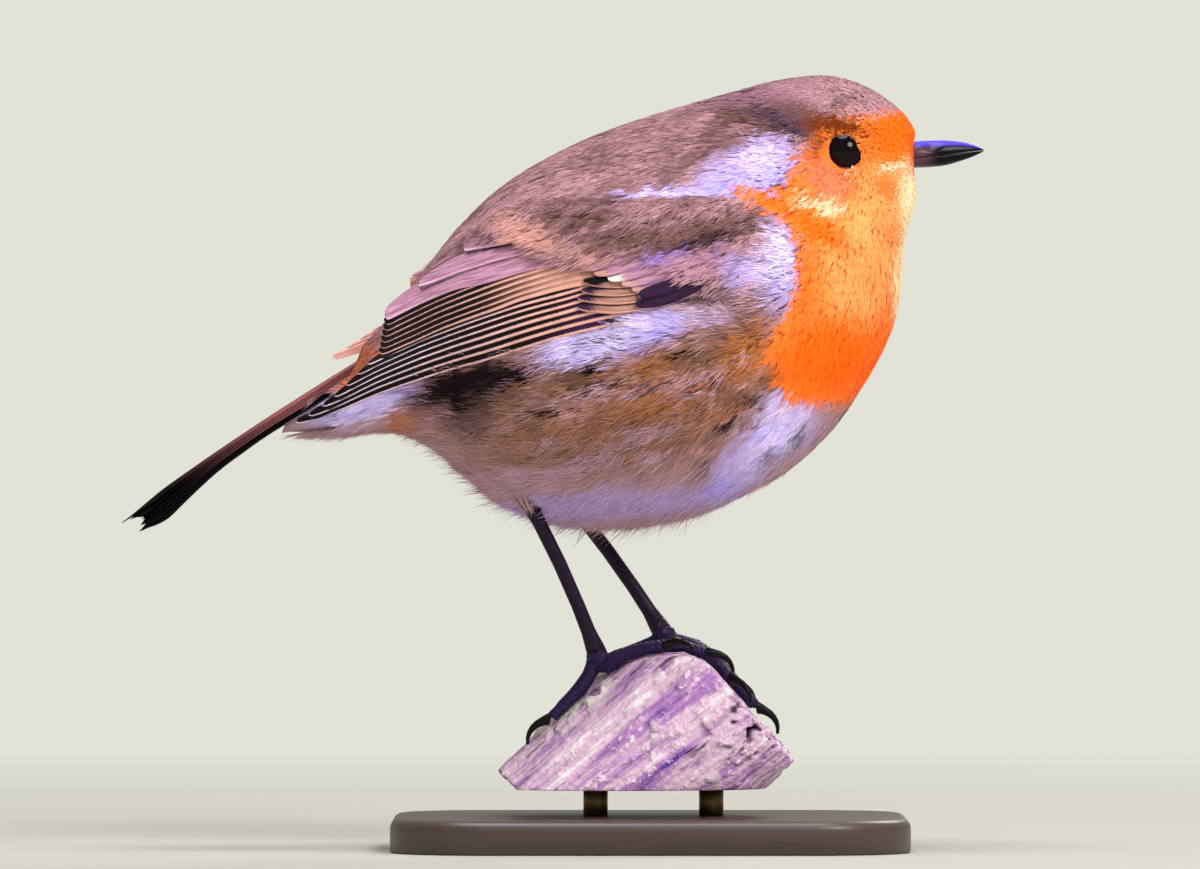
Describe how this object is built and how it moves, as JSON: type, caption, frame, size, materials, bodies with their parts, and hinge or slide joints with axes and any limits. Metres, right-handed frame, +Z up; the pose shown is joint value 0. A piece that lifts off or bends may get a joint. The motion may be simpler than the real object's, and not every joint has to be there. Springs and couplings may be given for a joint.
{
  "type": "european robin",
  "caption": "Life-size still model of a plump European robin in profile, gripping the sawn end of a short branch on a plain display stand.",
  "frame": {"origin": "centre of the display base's underside", "axes": "+X towards the bill, +Y towards the bird's left side, +Z up"},
  "size_m": [0.1263, 0.056, 0.114],
  "materials": {
    "head_feathers": "soft, matt",
    "breast_feathers": "soft, matt",
    "body_feathers": "soft, matt",
    "flight_feathers": "smooth, slightly silky",
    "bill": "horn with a low gloss",
    "eye": "wet gloss",
    "legs": "scaly horn",
    "claws": "horn with a low gloss",
    "branch": "weathered, bare and dry",
    "stand": "dark satin varnish",
    "rods": "darkened"
  },
  "bodies": {
    "root": {"head": "head_feathers", "neck": "breast_feathers", "trunk": "body_feathers", "rump": "body_feathers", "tail": "flight_feathers", "wing_right_coverts": "flight_feathers", "wing_right_secondaries": "flight_feathers", "wing_right_primaries": "flight_feathers", "wing_left_coverts": "flight_feathers", "wing_left_secondaries": "flight_feathers", "wing_left_primaries": "flight_feathers", "eye_right": "eye", "eye_left": "eye", "bill_upper": "bill", "bill_lower": "bill", "leg_right_shank": "legs", "leg_left_shank": "legs", "foot_right": "legs", "foot_left": "legs", "claw_right_1": "claws", "claw_right_2": "claws", "claw_right_3": "claws", "claw_right_4": "claws", "claw_left_1": "claws", "claw_left_2": "claws", "claw_left_3": "claws", "claw_left_4": "claws", "perch_branch": "branch", "stand_base": "stand", "stand_rod_1": "rods", "stand_rod_2": "rods"}
  },
  "joints": []
}
